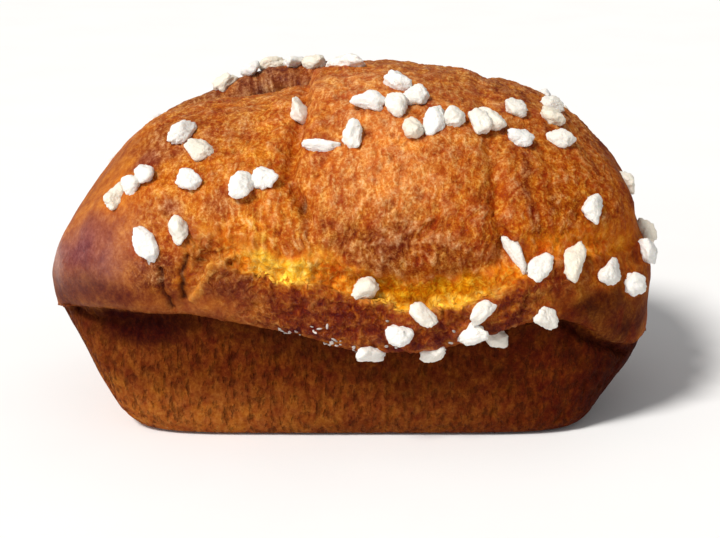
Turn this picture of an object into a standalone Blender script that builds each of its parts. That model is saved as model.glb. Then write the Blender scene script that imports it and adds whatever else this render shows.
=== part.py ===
"""A small brioche loaf, baked in a tapered tin and topped with pearl sugar: one solid.

Metres, +Z up. The origin is the middle of the base, X runs along the loaf and -Y is its torn front.
A box cage is wrapped round the loaf by formula, so every form below follows from the named sizes.
Places on the loaf are given in two kinds of degrees. Round: 0 at the right end, 90 at the back, 180 at
the left end, -90 at the front. Over: about a line along the loaf, 0 at the front, 90 on top, 180 at the back.
"""

import math
import random

import bmesh
import bpy
import numpy as np
from mathutils import Matrix, Vector, noise
from mathutils.bvhtree import BVHTree

NODE_NAME = "brioche_loaf"

# Outline: what the tin gave the loaf, and how far it rose over the rim. Its foot lies a little to the
# right of its lip.
BASE_HALF_LENGTH = 0.0602
BASE_HALF_WIDTH = 0.0350
BASE_EDGE_RADIUS = 0.0035
BASE_LIES_RIGHT = 0.0014
LIP_HALF_LENGTH = 0.0785
LIP_HALF_WIDTH = 0.0465
LOAF_HEIGHT = 0.0890
BASE_SQUARENESS = 6.5
LIP_SQUARENESS = 3.2
CROWN_SQUARENESS = 2.1

# The lip: the roll of crust that hangs over the tin's rim, by degrees round. Its underside's height,
# how far it swells beyond the plain outline, and how far it stands out over the wall. It is tucked up
# behind its underside by a part of how far it stands out.
LIP_UNDERSIDE = (
    (-168, 0.0280), (-145, 0.0330), (-135, 0.0345), (-120, 0.0355), (-108, 0.0335), (-98, 0.0310),
    (-88, 0.0282), (-79, 0.0278), (-70, 0.0300), (-63, 0.0335), (-57, 0.0350), (-50, 0.0320),
    (-42, 0.0262), (-32, 0.0235), (-15, 0.0240), (10, 0.0255), (40, 0.0320), (70, 0.0335),
    (95, 0.0310), (120, 0.0330), (150, 0.0290), (175, 0.0270),
)
LIP_SWELL = (
    (-160, 0.0002), (-125, 0.0000), (-100, 0.0020), (-80, 0.0040), (-62, 0.0020), (-45, 0.0000),
    (-10, 0.0000), (60, 0.0014), (90, 0.0032), (125, 0.0014), (180, -0.0002),
)
LIP_STANDS_OUT = (
    (180, 0.0004), (-150, 0.0022), (-120, 0.0060), (-80, 0.0085), (-50, 0.0036), (-20, 0.0009),
    (10, 0.0008), (50, 0.0045), (90, 0.0060), (130, 0.0045),
)
LIP_TUCK = 0.24
LIP_RISE = 0.0085

# Dome: its curve from the lip to the crown is a superellipse, fuller on the right than on the left.
DOME_POWER = 2.02
DOME_POWER_LEAN = 0.27
DOME_LEAN_LENGTH = 0.030

# The two seams where three balls of dough meet, by degrees over: (degrees, X) and (degrees, depth).
SPIN_HEIGHT = 0.036
SEAM_LEFT = (
    (10, -0.0075), (18, -0.0080), (24, -0.0098), (29, -0.0105), (33, -0.0117), (37, -0.0134),
    (43, -0.0152), (56, -0.0147), (65, -0.0136), (75, -0.0129), (90, -0.0120), (120, -0.0150),
    (150, -0.0130), (170, -0.0120),
)
SEAM_LEFT_DEPTH = (
    (10, 0.0), (20, 0.0010), (28, 0.0020), (33, 0.0026), (45, 0.0022), (60, 0.0022), (90, 0.0018),
    (105, 0.0008), (120, 0.0016), (145, 0.0028), (168, 0.0),
)
SEAM_RIGHT = (
    (15, 0.0370), (34, 0.0347), (49, 0.0339), (60, 0.0329), (90, 0.0340), (120, 0.0370), (165, 0.0340),
)
SEAM_RIGHT_DEPTH = (
    (12, 0.0), (22, 0.0024), (34, 0.0022), (50, 0.0014), (62, 0.0008), (90, 0.0008), (120, 0.0020),
    (145, 0.0022), (168, 0.0),
)
SEAM_HALF_WIDTH = 0.0030

# The tear where the crown lifted off the lip, by degrees round: (degrees, height) and (degrees, depth).
TEAR_HEIGHT = (
    (-118, 0.0490), (-110, 0.0500), (-100, 0.0495), (-93, 0.0475), (-85, 0.0457), (-77, 0.0457),
    (-69, 0.0480), (-63, 0.0525), (-57, 0.0535), (-45, 0.0525), (-31, 0.0505), (-10, 0.0515),
    (20, 0.0520), (45, 0.0540), (70, 0.0565), (95, 0.0575), (120, 0.0620), (150, 0.0640),
)
TEAR_DEPTH = (
    (-120, 0.0), (-114, 0.0012), (-108, 0.0034), (-103, 0.0036), (-98, 0.0022), (-93, 0.0032),
    (-88, 0.0032), (-83, 0.0044), (-76, 0.0048), (-70, 0.0038), (-65, 0.0020), (-60, 0.0026),
    (-52, 0.0018), (-35, 0.0016), (-15, 0.0010), (15, 0.0010), (40, 0.0020), (60, 0.0034),
    (85, 0.0036), (105, 0.0030), (125, 0.0016), (145, 0.0),
)
TEAR_ABOVE, TEAR_BELOW = 0.0042, 0.0060

# Swellings and hollows of the crust: (X, degrees over, reach along X, reach in degrees, height).
SWELLINGS = (
    (0.012, 36, 0.019, 24, 0.0022), (-0.044, 40, 0.022, 24, 0.0012), (0.058, 52, 0.016, 26, 0.0014),
    (0.014, 132, 0.018, 24, 0.0022), (0.056, 126, 0.018, 24, 0.0016), (-0.046, 140, 0.020, 22, 0.0018),
    (-0.018, 117, 0.018, 10, 0.0048), (-0.059, -12, 0.0095, 9, -0.0030), (0.062, 20, 0.010, 9, -0.0010),
    (-0.050, 88, 0.015, 36, 0.0034), (0.038, 96, 0.010, 24, 0.0012),
)

# The dent low on the wall at the right end: its middle, its reach along each axis, and its depth.
DENT_AT = (0.064, -0.026, 0.010)
DENT_REACH = (0.013, 0.013, 0.0075)
DENT_DEPTH = 0.0019

# The back of the left ball split from its front: its top sank up to the left seam, by X, and behind
# it a split opens before the back rim.
SUNKEN_TOP = (
    (-0.064, 0.0), (-0.045, 0.0012), (-0.030, 0.0026), (-0.020, 0.0034), (-0.014, 0.0030), (-0.009, 0.0),
)
SUNKEN_FROM_TO = (38, 62, 100, 110)
SPLIT_DEPTH = ((-0.050, 0.0), (-0.040, 0.0026), (-0.022, 0.0060), (-0.011, 0.0052), (-0.003, 0.0))
SPLIT_OVER = 104
SPLIT_HALF_WIDTH = 4.5

# The deeper of the two fissures in the left cheek: its ends as (X, Z), on the front.
FISSURE = ((-0.0355, 0.0505), (-0.0385, 0.0455), (-0.0410, 0.0390))
FISSURE_DEPTH = 0.0016
FISSURE_HALF_WIDTH = 0.0028

# Uneven crust: (wavelength, height) of soft waves. They are weaker on the wall, up to the heights where
# they grow to their full height, and all relief fades out towards the flat base.
WAVES = ((0.017, 0.0011), (0.008, 0.0005))
WAVES_ON_WALL = 0.4
WAVES_GROW_FROM_TO = (0.022, 0.040)
FLAT_BELOW_ABOVE = (0.0, 0.006)

# Pearl sugar: ranges of a grain's length, width and thickness, and the part of its thickness baked in.
# Each grain has its own seed, counted on from the first one's.
GRAIN_LENGTH = (0.0064, 0.0090)
GRAIN_WIDTH = (0.0052, 0.0066)
GRAIN_THICKNESS = (0.0044, 0.0058)
GRAIN_UNEVENNESS = 0.13
GRAIN_SUNK = 0.36
GRAIN_TILT = math.radians(14)
FIRST_GRAIN_SEED = 700

# Two grains unlike the rest, a splinter and a chip, by their spots: length, width, thickness, and the
# degrees that their length is turned up from level.
ODD_GRAINS = {
    (38, 21): (0.0122, 0.0034, 0.0040, 112),
    (-8, 51): (0.0084, 0.0032, 0.0046, 22),
}

# Drifts of sugar: how many grains lie along each path of (X, degrees over), in mm and degrees.
DRIFT_SCATTER = 0.0008
DRIFTS = (
    (3, (-58.5, 42), (-51, 47)), (3, (-42, 63), (-38, 54), (-40.5, 44)), (2, (-26.5, 38), (-21, 42)),
    (2, (-50, 22), (-41, 28)), (1, (-14, 70)), (1, (-8, 51)), (3, (1, 53), (4, 64), (11, 74)),
    (2, (11, 63), (17, 66)), (5, (16, 54), (28, 58), (35, 61)), (2, (40, 71), (41, 57)),
    (3, (51, 88), (51, 70), (52, 62)), (1, (58, 35)),
    (5, (38, 21), (42, 16), (52, 18), (60, 15), (70, 7)), (3, (73, 97), (76.5, 62), (75, 28)),
    (1, (4, 11)), (2, (12, -1), (17, 4)), (2, (29, -4), (31, 5)), (4, (5, -9), (30, -9), (47, 0)),
    (8, (-34, 112), (-24, 117), (-10, 111), (-1, 94)),
    (4, (-54, 128), (-34, 146)), (5, (6, 132), (32, 130)), (5, (-26, 178), (26, 179)),
    (3, (52, 122), (62, 140)), (3, (-66, 138), (-60, 152)), (3, (2, 146), (20, 150)),
    (3, (34, 146), (46, 139)), (2, (-20, 150), (-12, 158)), (2, (48, 162), (58, 168)),
)

# Cage: faces along X, along Y and up the side, and where the climb from the middle of the base (0) to
# the crown (3) passes each line that runs round the loaf.
CAGE_FACES = (34, 20, 22)
CLIMB_BASE_EDGE, CLIMB_ROUNDED, CLIMB_WALL = 1.0, 1.05, 1.10
CLIMB_WALL_TOP, CLIMB_UNDERSIDE, CLIMB_ROLL, CLIMB_LIP, CLIMB_OVER_LIP = 1.40, 1.49, 1.57, 1.70, 1.84
CLIMB_CROWN = 3.0

# Between those lines: the rounded edge's middle, as parts of its radius in and up, and the roll of the
# lip, as the parts of its overhang still to come at its underside and above it, and of its rise there.
EDGE_MIDDLE_IN, EDGE_MIDDLE_UP = 0.25, 0.28
OVERHANG_AT_UNDERSIDE, OVERHANG_AT_ROLL, RISE_AT_ROLL = 0.50, 0.15, 0.25


def hermite(value, places, amounts, slopes):
    """Cubic pieces between places. amounts and slopes have a row for each place."""
    left = np.clip(np.searchsorted(places, value) - 1, 0, len(places) - 2)
    span = places[left + 1] - places[left]
    part = np.clip((value - places[left]) / span, 0, 1)
    column = np.arange(len(value)) if amounts.shape[1] > 1 else 0
    here, there = amounts[left, column], amounts[left + 1, column]
    leave, arrive = slopes[left, column] * span, slopes[left + 1, column] * span
    ease = part * part * (3 - 2 * part)
    return here + (there - here) * ease + part * (1 - part) * ((1 - part) * leave - part * arrive)


def smooth_through(value, keys):
    """The smooth curve through (place, amount) keys. It never passes them, and is level past its ends."""
    places, amounts = np.array(sorted(keys)).T
    steps = np.diff(amounts) / np.diff(places)
    before, after = steps[:-1], steps[1:]
    onward = before * after > 0
    slopes = np.where(onward, 2 * before * after / np.where(onward, before + after, 1), 0)
    return hermite(value, places, amounts[:, None], np.pad(slopes, 1)[:, None])


def smooth_round(degrees, keys):
    """The smooth closed curve through (degrees round, amount) keys."""
    turns = [(place + turn, amount) for turn in (-360, 0, 360) for place, amount in keys]
    return smooth_through(degrees, turns)


def fade(value, low, high):
    """0 below low, 1 above high, and smooth between."""
    part = np.clip((value - low) / (high - low), 0, 1)
    return part * part * (3 - 2 * part)


def bump(distance, reach):
    return np.exp(-((distance / reach) ** 2))


def distance_to_path(flat_points, path):
    """How far points of a plane are from a path of straight pieces."""
    nearest = np.full(len(flat_points), np.inf)
    for start, end in zip(np.array(path)[:-1], np.array(path)[1:]):
        along = end - start
        part = np.clip(((flat_points - start) @ along) / (along @ along), 0, 1)
        nearest = np.minimum(nearest, np.linalg.norm(flat_points - start - part[:, None] * along, axis=1))
    return nearest


def box_cage(faces):
    """A 2 m cube cut into faces[0] x faces[1] x faces[2] cells, with its base left as one face."""
    cage = bmesh.new()
    bmesh.ops.create_cube(cage, size=2.0)
    for axis, count in enumerate(faces):
        normal = Vector(float(axis == k) for k in range(3))
        for cut in range(1, count):
            everything = cage.verts[:] + cage.edges[:] + cage.faces[:]
            where = normal * (2 * cut / count - 1)
            bmesh.ops.bisect_plane(cage, geom=everything, plane_co=where, plane_no=normal)
    base = [f for f in cage.faces if f.calc_center_median().z < -1 + 1e-6]
    bmesh.ops.dissolve_faces(cage, faces=base, use_verts=True)
    return cage


def climb_and_ring(cage_points):
    """How far each cage point has climbed from the middle of the base, and its direction round."""
    disc = cage_points[:, :2] * np.sqrt(1 - cage_points[:, 1::-1] ** 2 / 2)
    across = np.hypot(disc[:, 0], disc[:, 1])
    level = cage_points[:, 2]
    climb = np.where(level < -1 + 1e-6, across, np.where(level > 1 - 1e-6, 3 - across, 1.5 + level / 2))
    return climb, disc / np.maximum(across, 1e-9)[:, None]


def plain_form(climb, ring):
    """The loaf without relief: flat base, tapered wall, lip that hangs over it, and dome."""
    degrees = np.degrees(np.arctan2(ring[:, 1], ring[:, 0]))
    underside = smooth_round(degrees, LIP_UNDERSIDE)
    swell = smooth_round(degrees, LIP_SWELL)
    stands_out = smooth_round(degrees, LIP_STANDS_OUT)
    widest = underside + LIP_RISE
    wall_height = underside + LIP_TUCK * stands_out
    lip_length, lip_width = LIP_HALF_LENGTH + swell, LIP_HALF_WIDTH + swell
    spread = BASE_EDGE_RADIUS / wall_height

    # Each line round the loaf: its climb, how far it lies inside the wall's foot, and then outside it as
    # a part of the way to the lip, how far it lies inside the lip, its height, and its squareness.
    base, lip = BASE_SQUARENESS, LIP_SQUARENESS
    lines = (
        (CLIMB_BASE_EDGE, BASE_EDGE_RADIUS, 0, 0, 0, base),
        (CLIMB_ROUNDED, EDGE_MIDDLE_IN * BASE_EDGE_RADIUS, 0, 0, EDGE_MIDDLE_UP * BASE_EDGE_RADIUS, base),
        (CLIMB_WALL, 0, spread, spread * stands_out, BASE_EDGE_RADIUS, base),
        (CLIMB_WALL_TOP, 0, 1, stands_out, wall_height, lip),
        (CLIMB_UNDERSIDE, 0, 1, OVERHANG_AT_UNDERSIDE * stands_out, underside, lip),
        (CLIMB_ROLL, 0, 1, OVERHANG_AT_ROLL * stands_out, underside + RISE_AT_ROLL * LIP_RISE, lip),
        (CLIMB_LIP, 0, 1, 0, widest, lip),
        (CLIMB_OVER_LIP, 0, 1, 0, widest + LIP_RISE, lip),
    )
    nothing = np.zeros_like(swell)
    stations = [(0, nothing, nothing, nothing, nothing + base)]
    for place, inside_foot, way, inside_lip, level, square in lines:
        length = BASE_HALF_LENGTH - inside_foot + way * (lip_length - BASE_HALF_LENGTH) - inside_lip
        width = BASE_HALF_WIDTH - inside_foot + way * (lip_width - BASE_HALF_WIDTH) - inside_lip
        stations.append((place, length, width, nothing + level, nothing + square))
    places = np.array([row[0] for row in stations])
    length, width, height, squareness = (
        hermite(climb, places, rows, np.gradient(rows, places, axis=0))
        for rows in (np.array([row[k] for row in stations]) for k in range(1, 5))
    )

    power = DOME_POWER + DOME_POWER_LEAN * np.tanh(ring[:, 0] * LIP_HALF_LENGTH / DOME_LEAN_LENGTH)
    turn = np.clip((climb - CLIMB_LIP) / (CLIMB_CROWN - CLIMB_LIP), 0, 1) * math.pi / 2
    shrink, rise = np.cos(turn) ** (2 / power), np.sin(turn) ** (2 / power)
    on_dome = climb > CLIMB_LIP
    length = np.where(on_dome, lip_length * shrink, length)
    width = np.where(on_dome, lip_width * shrink, width)
    height = np.where(on_dome, widest + (LOAF_HEIGHT - widest) * rise, height)
    squareness = np.where(on_dome, LIP_SQUARENESS + (CROWN_SQUARENESS - LIP_SQUARENESS) * rise, squareness)

    rounding = np.maximum((np.abs(ring) ** squareness[:, None]).sum(axis=1), 1e-9) ** (1 / squareness)
    shift = BASE_LIES_RIGHT * (1 - fade(climb, CLIMB_BASE_EDGE, CLIMB_WALL_TOP))
    return np.stack([ring[:, 0] / rounding * length + shift, ring[:, 1] / rounding * width, height], axis=1)


def relief(points, ring):
    """How far the crust stands out of the plain form, along its normal."""
    x, y, z = points.T
    round_degrees = np.degrees(np.arctan2(ring[:, 1], ring[:, 0]))
    over = np.degrees(np.arctan2(z - SPIN_HEIGHT, -y))
    over = np.where(over < -90, over + 360, over)
    out = np.zeros(len(points))

    for seam, depth in ((SEAM_LEFT, SEAM_LEFT_DEPTH), (SEAM_RIGHT, SEAM_RIGHT_DEPTH)):
        out -= smooth_through(over, depth) * bump(x - smooth_through(over, seam), SEAM_HALF_WIDTH)

    above = z - smooth_round(round_degrees, TEAR_HEIGHT)
    tear = np.where(above > 0, bump(above, TEAR_ABOVE), bump(above, TEAR_BELOW))
    out -= smooth_round(round_degrees, TEAR_DEPTH) * tear

    for at, degrees, reach, spread, height in SWELLINGS:
        out += height * bump(x - at, reach) * bump(over - degrees, spread)
    out -= DENT_DEPTH * bump(np.linalg.norm((points - DENT_AT) / DENT_REACH, axis=1), 1.0)

    low, full, hold, end = SUNKEN_FROM_TO
    out -= smooth_through(x, SUNKEN_TOP) * fade(over, low, full) * (1 - fade(over, hold, end))
    out -= smooth_through(x, SPLIT_DEPTH) * bump(over - SPLIT_OVER, SPLIT_HALF_WIDTH)

    fissure = FISSURE_DEPTH * bump(distance_to_path(points[:, ::2], FISSURE), FISSURE_HALF_WIDTH)
    out -= np.where(y < 0, fissure, 0)

    strength = WAVES_ON_WALL + (1 - WAVES_ON_WALL) * fade(z, *WAVES_GROW_FROM_TO)
    for wavelength, height in WAVES:
        wave = np.array([noise.noise(Vector(point) / wavelength) for point in points])
        out += wave * height * strength
    return out * fade(z, *FLAT_BELOW_ABOVE)


def set_points(cage, points):
    for vertex, point in zip(cage.verts, points):
        vertex.co = point
    cage.normal_update()


def loaf_mesh():
    cage = box_cage(CAGE_FACES)
    climb, ring = climb_and_ring(np.array([v.co for v in cage.verts]))
    points = plain_form(climb, ring)
    set_points(cage, points)
    bmesh.ops.recalc_face_normals(cage, faces=cage.faces)
    normals = np.array([v.normal for v in cage.verts])
    set_points(cage, points + normals * relief(points, ring)[:, None])
    bmesh.ops.triangulate(cage, faces=[f for f in cage.faces if len(f.verts) == 4], quad_method="SHORT_EDGE")
    mesh = bpy.data.meshes.new(NODE_NAME)
    cage.to_mesh(mesh)
    cage.free()
    return mesh


def along_path(path, part):
    """The point at that part of a path's length."""
    corners = [Vector(corner) for corner in path]
    lengths = [(b - a).length for a, b in zip(corners, corners[1:])]
    left = part * sum(lengths)
    for start, end, length in zip(corners, corners[1:], lengths):
        if left <= length:
            return start.lerp(end, left / length)
        left -= length
    return corners[-1]


def grain_spots():
    """(X in mm, degrees over) of every grain of the drifts."""
    return [along_path(path, index / max(count - 1, 1)) for count, *path in DRIFTS for index in range(count)]


def grain_place(crust, spot, draw):
    """A matrix that stands a grain 1 m long on the crust, part of it baked in, or None off the crust."""
    x = spot[0] / 1000 + draw.uniform(-1, 1) * DRIFT_SCATTER
    over = math.radians(spot[1]) + draw.uniform(-1, 1) * DRIFT_SCATTER / SPIN_HEIGHT
    size = [draw.uniform(*span) for span in (GRAIN_LENGTH, GRAIN_WIDTH, GRAIN_THICKNESS)]
    turned = draw.uniform(0, 360)
    tilt = Matrix.Rotation(draw.uniform(-1, 1) * GRAIN_TILT, 4, "X")
    if tuple(spot) in ODD_GRAINS:
        *size, turned = ODD_GRAINS[tuple(spot)]
    turn = Matrix.Rotation(math.radians(turned), 4, "Z")
    away = Vector((0, -math.cos(over), math.sin(over)))
    point, normal, _, _ = crust.ray_cast(Vector((x, 0, SPIN_HEIGHT)) + away * LIP_HALF_LENGTH, -away)
    if point is None:
        return None
    stand = normal.to_track_quat("Z", "Y").to_matrix().to_4x4()
    middle = Matrix.Translation(point + normal * size[2] * (0.5 - GRAIN_SUNK))
    return middle @ stand @ tilt @ turn @ Matrix.Diagonal((*size, 1))


def sugar_grain(name, place, draw):
    """An uneven lump of sugar."""
    grain = bmesh.new()
    bmesh.ops.create_icosphere(grain, subdivisions=1, radius=0.5)
    for vertex in grain.verts:
        vertex.co *= 1 + draw.uniform(-1, 1) * GRAIN_UNEVENNESS
    bmesh.ops.transform(grain, matrix=place, verts=grain.verts)
    mesh = bpy.data.meshes.new(name)
    grain.to_mesh(mesh)
    grain.free()
    return bpy.data.objects.new(name, mesh)


def fuse(body, others):
    """Joins the objects of a collection to the body as one solid, and removes them."""
    union = body.modifiers.new("fuse", "BOOLEAN")
    union.operation = "UNION"
    union.solver = "EXACT"
    union.operand_type = "COLLECTION"
    union.collection = others
    bpy.context.view_layer.update()
    fused = bpy.data.meshes.new_from_object(body.evaluated_get(bpy.context.evaluated_depsgraph_get()))
    body.modifiers.clear()
    body.data = fused
    for obj in list(others.objects):
        bpy.data.objects.remove(obj)
    bpy.data.collections.remove(others)


def crust_material():
    crust = bpy.data.materials.new("crust")
    crust.use_nodes = True
    shader = crust.node_tree.nodes["Principled BSDF"]
    shader.inputs["Base Color"].default_value = (0.46, 0.16, 0.03, 1)
    shader.inputs["Roughness"].default_value = 0.5
    return crust


def main():
    for obj in list(bpy.data.objects):
        bpy.data.objects.remove(obj)
    parts = bpy.data.collections.new(NODE_NAME)
    bpy.context.scene.collection.children.link(parts)
    loaf = bpy.data.objects.new(NODE_NAME, loaf_mesh())
    parts.objects.link(loaf)

    sugar = bpy.data.collections.new("pearl_sugar")
    bpy.context.scene.collection.children.link(sugar)
    crust = BVHTree.FromPolygons([v.co for v in loaf.data.vertices], [p.vertices for p in loaf.data.polygons])
    for index, spot in enumerate(grain_spots()):
        draw = random.Random(FIRST_GRAIN_SEED + index)
        place = grain_place(crust, spot, draw)
        if place is not None:
            sugar.objects.link(sugar_grain(f"grain_{index}", place, draw))
    fuse(loaf, sugar)

    loaf.data.materials.clear()
    loaf.data.materials.append(crust_material())
    loaf.data.shade_smooth()


main()
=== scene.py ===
"""Looks of a small brioche loaf topped with pearl sugar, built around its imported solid.

Metres, +Z up. X runs along the loaf and -Y is its torn front. The loaf's form is worked out as its solid
is: a box cage is wrapped round it by formula, here much finer, and finer relief and colours are added.
Places on the loaf are given in two kinds of degrees. Round: 0 at the right end, 90 at the back, 180 at
the left end, -90 at the front. Over: about a line along the loaf, 0 at the front, 90 on top, 180 at the back.
"""

import math
import random

import bmesh
import bpy
import numpy as np
from mathutils import Matrix, Vector, noise
from mathutils.bvhtree import BVHTree
from mathutils.kdtree import KDTree


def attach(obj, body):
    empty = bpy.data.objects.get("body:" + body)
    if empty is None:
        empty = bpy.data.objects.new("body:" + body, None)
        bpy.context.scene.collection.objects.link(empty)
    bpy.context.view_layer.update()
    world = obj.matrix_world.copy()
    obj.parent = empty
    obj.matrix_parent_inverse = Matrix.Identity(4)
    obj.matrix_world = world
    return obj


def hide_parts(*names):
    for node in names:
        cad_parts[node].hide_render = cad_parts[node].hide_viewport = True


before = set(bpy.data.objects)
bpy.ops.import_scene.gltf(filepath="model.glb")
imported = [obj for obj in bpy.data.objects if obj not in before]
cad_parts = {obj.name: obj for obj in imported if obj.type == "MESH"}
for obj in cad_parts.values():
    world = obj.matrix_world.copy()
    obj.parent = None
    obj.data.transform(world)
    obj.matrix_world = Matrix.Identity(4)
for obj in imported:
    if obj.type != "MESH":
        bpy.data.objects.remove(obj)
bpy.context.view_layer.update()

# --- The form of the solid ---

BASE_HALF_LENGTH = 0.0602
BASE_HALF_WIDTH = 0.0350
BASE_EDGE_RADIUS = 0.0035
BASE_LIES_RIGHT = 0.0014
LIP_HALF_LENGTH = 0.0785
LIP_HALF_WIDTH = 0.0465
LOAF_HEIGHT = 0.0890
BASE_SQUARENESS = 6.5
LIP_SQUARENESS = 3.2
CROWN_SQUARENESS = 2.1

# The lip, by degrees round: its underside's height, its swelling, and how far it stands out.
LIP_UNDERSIDE = (
    (-168, 0.0280), (-145, 0.0330), (-135, 0.0345), (-120, 0.0355), (-108, 0.0335), (-98, 0.0310),
    (-88, 0.0282), (-79, 0.0278), (-70, 0.0300), (-63, 0.0335), (-57, 0.0350), (-50, 0.0320),
    (-42, 0.0262), (-32, 0.0235), (-15, 0.0240), (10, 0.0255), (40, 0.0320), (70, 0.0335),
    (95, 0.0310), (120, 0.0330), (150, 0.0290), (175, 0.0270),
)
LIP_SWELL = (
    (-160, 0.0002), (-125, 0.0000), (-100, 0.0020), (-80, 0.0040), (-62, 0.0020), (-45, 0.0000),
    (-10, 0.0000), (60, 0.0014), (90, 0.0032), (125, 0.0014), (180, -0.0002),
)
LIP_STANDS_OUT = (
    (180, 0.0004), (-150, 0.0022), (-120, 0.0060), (-80, 0.0085), (-50, 0.0036), (-20, 0.0009),
    (10, 0.0008), (50, 0.0045), (90, 0.0060), (130, 0.0045),
)
LIP_TUCK = 0.24
LIP_RISE = 0.0085

DOME_POWER = 2.02
DOME_POWER_LEAN = 0.27
DOME_LEAN_LENGTH = 0.030

# The two seams between the balls of dough, by degrees over: (degrees, X) and (degrees, depth).
SPIN_HEIGHT = 0.036
SEAM_LEFT = (
    (10, -0.0075), (18, -0.0080), (24, -0.0098), (29, -0.0105), (33, -0.0117), (37, -0.0134),
    (43, -0.0152), (56, -0.0147), (65, -0.0136), (75, -0.0129), (90, -0.0120), (120, -0.0150),
    (150, -0.0130), (170, -0.0120),
)
SEAM_LEFT_DEPTH = (
    (10, 0.0), (20, 0.0010), (28, 0.0020), (33, 0.0026), (45, 0.0022), (60, 0.0022), (90, 0.0018),
    (105, 0.0008), (120, 0.0016), (145, 0.0028), (168, 0.0),
)
SEAM_RIGHT = (
    (15, 0.0370), (34, 0.0347), (49, 0.0339), (60, 0.0329), (90, 0.0340), (120, 0.0370), (165, 0.0340),
)
SEAM_RIGHT_DEPTH = (
    (12, 0.0), (22, 0.0024), (34, 0.0022), (50, 0.0014), (62, 0.0008), (90, 0.0008), (120, 0.0020),
    (145, 0.0022), (168, 0.0),
)
SEAM_HALF_WIDTH = 0.0030

# The tear where the crown lifted off the lip, by degrees round.
TEAR_HEIGHT = (
    (-118, 0.0490), (-110, 0.0500), (-100, 0.0495), (-93, 0.0475), (-85, 0.0457), (-77, 0.0457),
    (-69, 0.0480), (-63, 0.0525), (-57, 0.0535), (-45, 0.0525), (-31, 0.0505), (-10, 0.0515),
    (20, 0.0520), (45, 0.0540), (70, 0.0565), (95, 0.0575), (120, 0.0620), (150, 0.0640),
)
TEAR_DEPTH = (
    (-120, 0.0), (-114, 0.0012), (-108, 0.0034), (-103, 0.0036), (-98, 0.0022), (-93, 0.0032),
    (-88, 0.0032), (-83, 0.0044), (-76, 0.0048), (-70, 0.0038), (-65, 0.0020), (-60, 0.0026),
    (-52, 0.0018), (-35, 0.0016), (-15, 0.0010), (15, 0.0010), (40, 0.0020), (60, 0.0034),
    (85, 0.0036), (105, 0.0030), (125, 0.0016), (145, 0.0),
)
TEAR_ABOVE, TEAR_BELOW = 0.0042, 0.0060

# Swellings and hollows: (X, degrees over, reach along X, reach in degrees, height).
SWELLINGS = (
    (0.012, 36, 0.019, 24, 0.0022), (-0.044, 40, 0.022, 24, 0.0012), (0.058, 52, 0.016, 26, 0.0014),
    (0.014, 132, 0.018, 24, 0.0022), (0.056, 126, 0.018, 24, 0.0016), (-0.046, 140, 0.020, 22, 0.0018),
    (-0.018, 117, 0.018, 10, 0.0048), (-0.059, -12, 0.0095, 9, -0.0030), (0.062, 20, 0.010, 9, -0.0010),
    (-0.050, 88, 0.015, 36, 0.0034), (0.038, 96, 0.010, 24, 0.0012),
)

# The dent low on the wall at the right end: its middle, its reach along each axis, and its depth.
DENT_AT = (0.064, -0.026, 0.010)
DENT_REACH = (0.013, 0.013, 0.0075)
DENT_DEPTH = 0.0019

# The left ball's sunken top and the split behind it, by X, the fissure in its cheek as a path of (X, Z),
# and soft waves of the whole crust as (wavelength, height).
SUNKEN_TOP = (
    (-0.064, 0.0), (-0.045, 0.0012), (-0.030, 0.0026), (-0.020, 0.0034), (-0.014, 0.0030), (-0.009, 0.0),
)
SUNKEN_FROM_TO = (38, 62, 100, 110)
SPLIT_DEPTH = ((-0.050, 0.0), (-0.040, 0.0026), (-0.022, 0.0060), (-0.011, 0.0052), (-0.003, 0.0))
SPLIT_OVER, SPLIT_HALF_WIDTH = 104, 4.5
FISSURE = ((-0.0355, 0.0505), (-0.0385, 0.0455), (-0.0410, 0.0390))
FISSURE_DEPTH, FISSURE_HALF_WIDTH = 0.0016, 0.0028
WAVES = ((0.017, 0.0011), (0.008, 0.0005))
WAVES_ON_WALL = 0.4
WAVES_GROW_FROM_TO = (0.022, 0.040)
FLAT_BELOW_ABOVE = (0.0, 0.006)

# Pearl sugar: ranges of a grain's size, the part of it baked in, and the drifts it lies in.
GRAIN_LENGTH = (0.0064, 0.0090)
GRAIN_WIDTH = (0.0052, 0.0066)
GRAIN_THICKNESS = (0.0044, 0.0058)
GRAIN_SUNK = 0.36
GRAIN_TILT = math.radians(14)
FIRST_GRAIN_SEED = 700
ODD_GRAINS = {
    (38, 21): (0.0122, 0.0034, 0.0040, 112),
    (-8, 51): (0.0084, 0.0032, 0.0046, 22),
}
DRIFT_SCATTER = 0.0008
DRIFTS = (
    (3, (-58.5, 42), (-51, 47)), (3, (-42, 63), (-38, 54), (-40.5, 44)), (2, (-26.5, 38), (-21, 42)),
    (2, (-50, 22), (-41, 28)), (1, (-14, 70)), (1, (-8, 51)), (3, (1, 53), (4, 64), (11, 74)),
    (2, (11, 63), (17, 66)), (5, (16, 54), (28, 58), (35, 61)), (2, (40, 71), (41, 57)),
    (3, (51, 88), (51, 70), (52, 62)), (1, (58, 35)),
    (5, (38, 21), (42, 16), (52, 18), (60, 15), (70, 7)), (3, (73, 97), (76.5, 62), (75, 28)),
    (1, (4, 11)), (2, (12, -1), (17, 4)), (2, (29, -4), (31, 5)), (4, (5, -9), (30, -9), (47, 0)),
    (8, (-34, 112), (-24, 117), (-10, 111), (-1, 94)),
    (4, (-54, 128), (-34, 146)), (5, (6, 132), (32, 130)), (5, (-26, 178), (26, 179)),
    (3, (52, 122), (62, 140)), (3, (-66, 138), (-60, 152)), (3, (2, 146), (20, 150)),
    (3, (34, 146), (46, 139)), (2, (-20, 150), (-12, 158)), (2, (48, 162), (58, 168)),
)

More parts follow.
